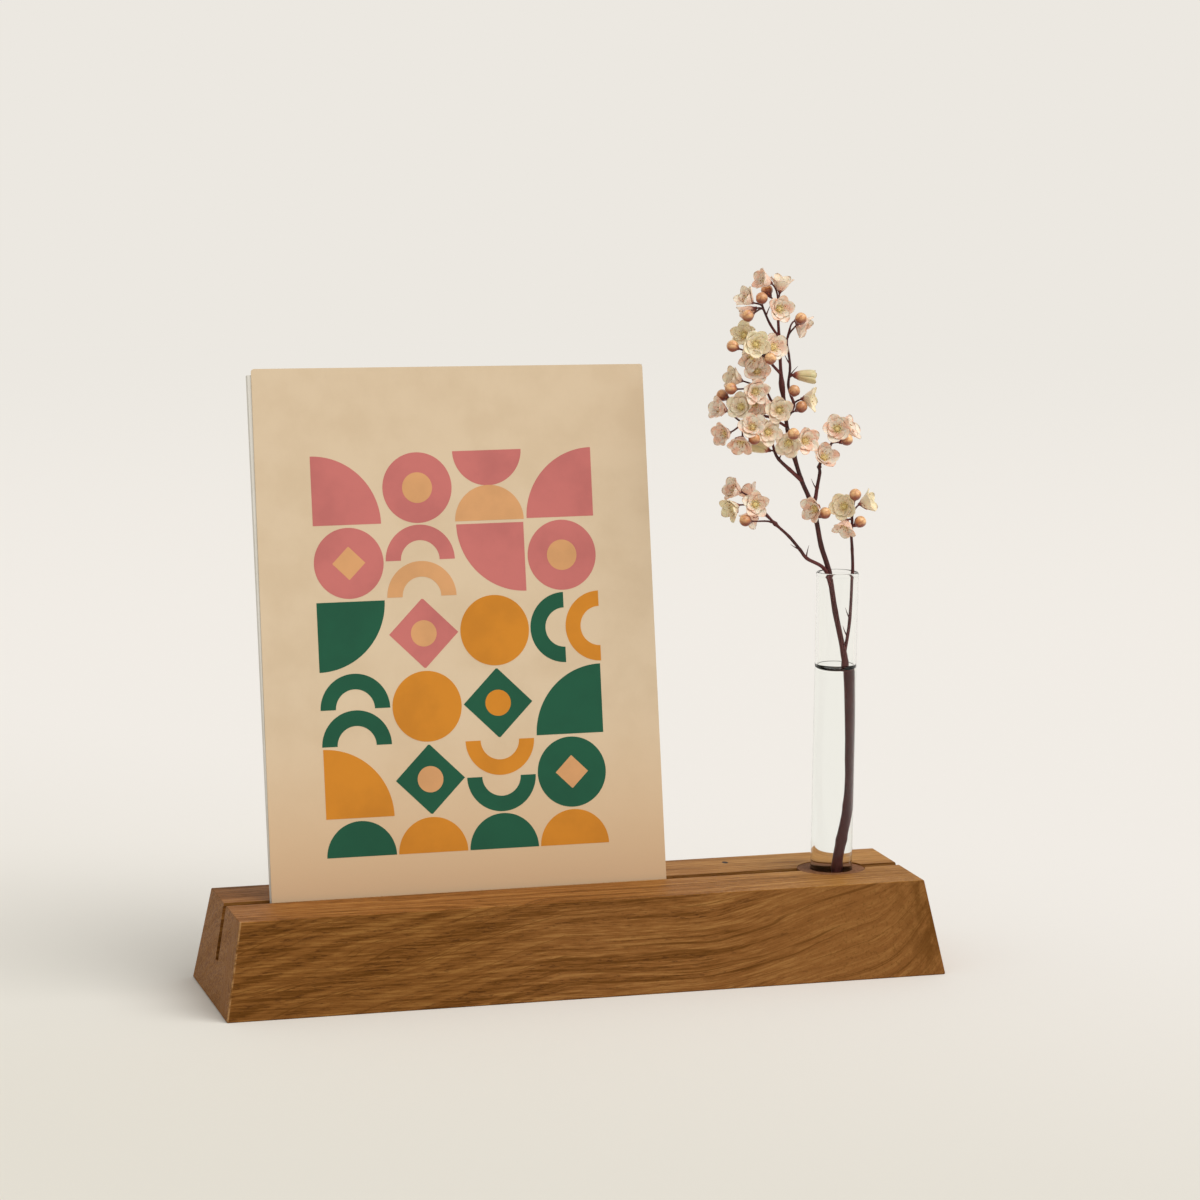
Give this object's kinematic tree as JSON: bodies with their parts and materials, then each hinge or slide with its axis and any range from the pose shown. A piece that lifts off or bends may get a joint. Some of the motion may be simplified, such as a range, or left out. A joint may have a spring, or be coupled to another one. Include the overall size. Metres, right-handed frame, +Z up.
{
  "type": "photo block with bud tube",
  "caption": "Oak block with a leaning slot that holds a print on its board, and a bushed hole that holds a glass tube of water with a flower sprig.",
  "frame": {"origin": "middle of the block's flat underside", "axes": "+X along the block towards the glass tube, +Y from the front of the print to its back, +Z up"},
  "size_m": [0.2678, 0.0718, 0.2592],
  "materials": {
    "oak": "smooth planed oak with a soft sheen, brown straight grain and a darker end grain",
    "bush_rubber": "matt dark brown",
    "clear_glass": "clear and smooth",
    "water": "clear still water",
    "white_board": "white matt board",
    "print_paper": "uncoated beige paper printed with flat shapes in pink, peach, green and mustard",
    "stem": "thin dark red-brown stems, slightly glossy",
    "petal": "thin cream petals flushed with pink, soft and slightly see-through",
    "closed_petal": "greenish cream closed petals",
    "bud": "smooth copper-pink buds with a slight gloss"
  },
  "bodies": {
    "base": {"block": "oak"},
    "bush": {"tube_bush": "bush_rubber"},
    "tube": {"glass_tube": "clear_glass", "water": "water"},
    "sprig": {"main_stem": "stem", "right_stem": "stem", "lower_left_branch": "stem", "left_branch": "stem", "right_branch": "stem", "upper_right_twig": "stem", "upper_left_twig": "stem", "shoulder_twig": "stem", "mid_left_twig": "stem", "left_twig": "stem", "centre_blossoms": "petal", "crown_blossoms": "petal", "left_blossoms": "petal", "left_branch_blossoms": "petal", "lower_centre_blossoms": "petal", "lower_left_blossoms": "petal", "lower_right_blossoms": "petal", "mid_left_blossoms": "petal", "mid_right_blossoms": "petal", "right_blossoms": "petal", "shoulder_blossoms": "petal", "upper_left_blossoms": "petal", "upper_right_blossoms": "petal", "left_branch_bells": "closed_petal", "mid_right_bells": "closed_petal", "centre_buds": "bud", "crown_buds": "bud", "left_buds": "bud", "lower_centre_buds": "bud", "lower_left_buds": "bud", "lower_right_buds": "bud", "mid_left_buds": "bud", "mid_right_buds": "bud", "right_buds": "bud", "shoulder_buds": "bud", "upper_left_buds": "bud", "upper_right_buds": "bud"},
    "board": {"backing_board": "white_board"},
    "print": {"front_print": "print_paper"}
  },
  "joints": [
    {"name": "tube_turn", "type": "hinge", "parent": "base", "child": "bush", "pos_m": [0.1014, 0.0006, 0.0345], "axis": [0.0175, 0, 0.9998], "continuous": true},
    {"name": "tube_lift", "type": "slide", "parent": "bush", "child": "tube", "axis": [0.0175, 0, 0.9998], "range_m": [0, 0.03]},
    {"name": "sprig_lift", "type": "slide", "parent": "tube", "child": "sprig", "axis": [0.0175, 0, 0.9998], "range_m": [0, 0.13], "deforming": ["water"]},
    {"name": "card_slide", "type": "slide", "parent": "base", "child": "board", "axis": [1, 0, 0], "range_m": [-0.016, 0.012]},
    {"name": "print_lift", "type": "slide", "parent": "board", "child": "print", "axis": [0, 0.1676, 0.9859], "range_m": [0, 0.03]}
  ]
}
